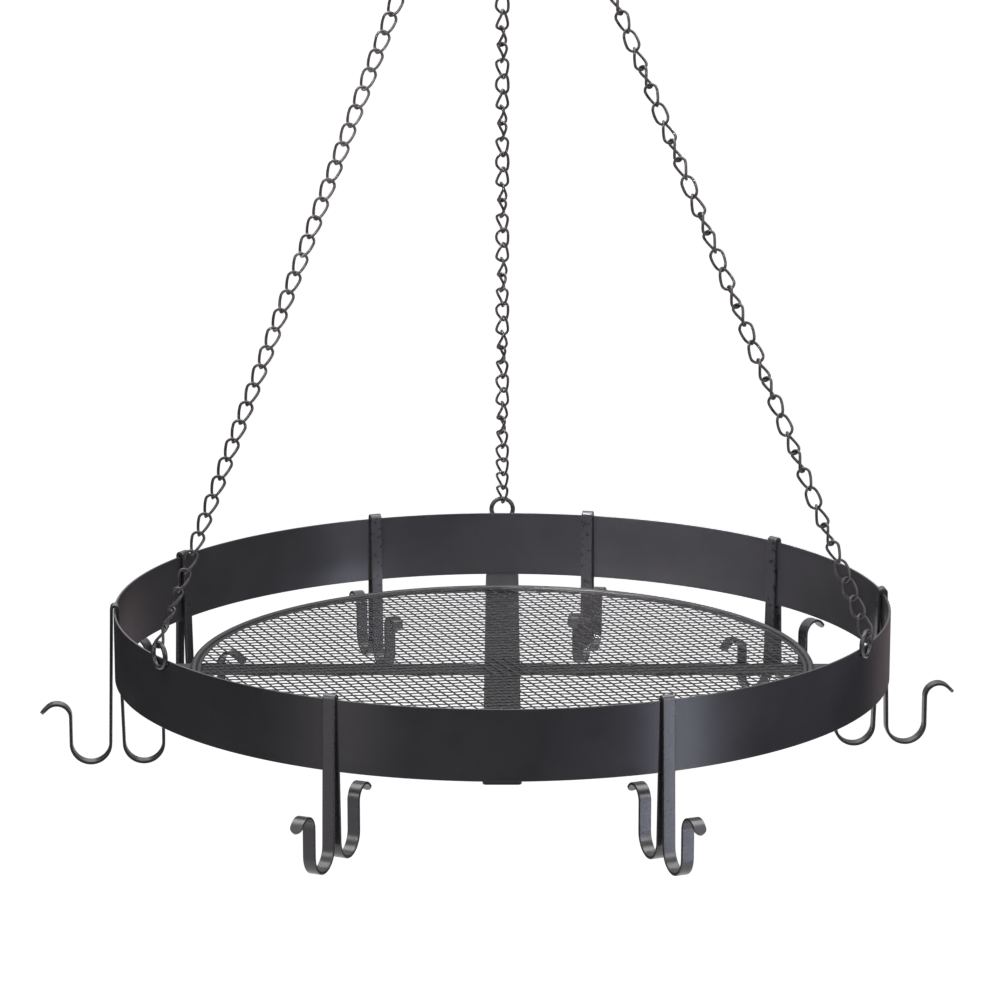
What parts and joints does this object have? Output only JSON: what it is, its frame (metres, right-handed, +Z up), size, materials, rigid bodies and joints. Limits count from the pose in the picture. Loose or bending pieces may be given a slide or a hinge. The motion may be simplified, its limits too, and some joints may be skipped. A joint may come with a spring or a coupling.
{
  "type": "hanging pot rack",
  "caption": "Round black iron pot rack: a flat hoop with a mesh shelf on cross straps, hung from a ring by twisted-link chains, with sliding double hooks for pans.",
  "frame": {"origin": "inside top of the hanging ring, where the ceiling hook bears, on the rack's middle line", "axes": "+Z up; the front of the rack faces -Y and +X is to its right; the hoop is round about Z"},
  "size_m": [0.6045, 0.5744, 0.6896],
  "materials": {
    "band_iron": "satin black paint on rolled flat steel",
    "strap_iron": "satin black paint on flat steel and round wire",
    "ring_iron": "satin black paint on welded round wire",
    "chain_iron": "satin black paint on twisted wire links",
    "mesh_iron": "matt black paint on fine steel mesh",
    "hook_iron": "satin black paint on bent flat strip"
  },
  "bodies": {
    "hanger": {"top_ring": "ring_iron"},
    "rack": {"chain_left": "chain_iron", "chain_right": "chain_iron", "chain_back": "chain_iron", "eyelet_left": "ring_iron", "eyelet_right": "ring_iron", "eyelet_back": "ring_iron", "hoop_band": "band_iron", "strap_front_back": "strap_iron", "strap_left_right": "strap_iron", "shelf_rim": "strap_iron", "shelf_mesh": "mesh_iron"},
    "hook_1": {"hook_1": "hook_iron"},
    "hook_2": {"hook_2": "hook_iron"},
    "hook_3": {"hook_3": "hook_iron"},
    "hook_4": {"hook_4": "hook_iron"},
    "hook_5": {"hook_5": "hook_iron"},
    "hook_6": {"hook_6": "hook_iron"},
    "hook_7": {"hook_7": "hook_iron"},
    "hook_8": {"hook_8": "hook_iron"}
  },
  "joints": [
    {"name": "rack_swing", "type": "hinge", "parent": "hanger", "child": "rack", "pos_m": [0, 0, -0.027], "axis": [1, 0, 0], "range_deg": [-15, 15]},
    {"name": "hook_1_along_hoop", "type": "hinge", "parent": "rack", "child": "hook_1", "pos_m": [0, 0, -0.58112], "axis": [0, 0, 1], "range_deg": [-16, 16]},
    {"name": "hook_2_along_hoop", "type": "hinge", "parent": "rack", "child": "hook_2", "pos_m": [0, 0, -0.58112], "axis": [0, 0, 1], "range_deg": [-16, 25]},
    {"name": "hook_3_along_hoop", "type": "hinge", "parent": "rack", "child": "hook_3", "pos_m": [0, 0, -0.58112], "axis": [0, 0, 1], "range_deg": [-0.3, 25]},
    {"name": "hook_4_along_hoop", "type": "hinge", "parent": "rack", "child": "hook_4", "pos_m": [0, 0, -0.58112], "axis": [0, 0, 1], "range_deg": [-29, 20]},
    {"name": "hook_5_along_hoop", "type": "hinge", "parent": "rack", "child": "hook_5", "pos_m": [0, 0, -0.58112], "axis": [0, 0, 1], "range_deg": [-19, 37]},
    {"name": "hook_6_along_hoop", "type": "hinge", "parent": "rack", "child": "hook_6", "pos_m": [0, 0, -0.58112], "axis": [0, 0, 1], "range_deg": [-2.2, 16]},
    {"name": "hook_7_along_hoop", "type": "hinge", "parent": "rack", "child": "hook_7", "pos_m": [0, 0, -0.58112], "axis": [0, 0, 1], "range_deg": [-14, 13]},
    {"name": "hook_8_along_hoop", "type": "hinge", "parent": "rack", "child": "hook_8", "pos_m": [0, 0, -0.58112], "axis": [0, 0, 1], "range_deg": [-16, 9]}
  ]
}
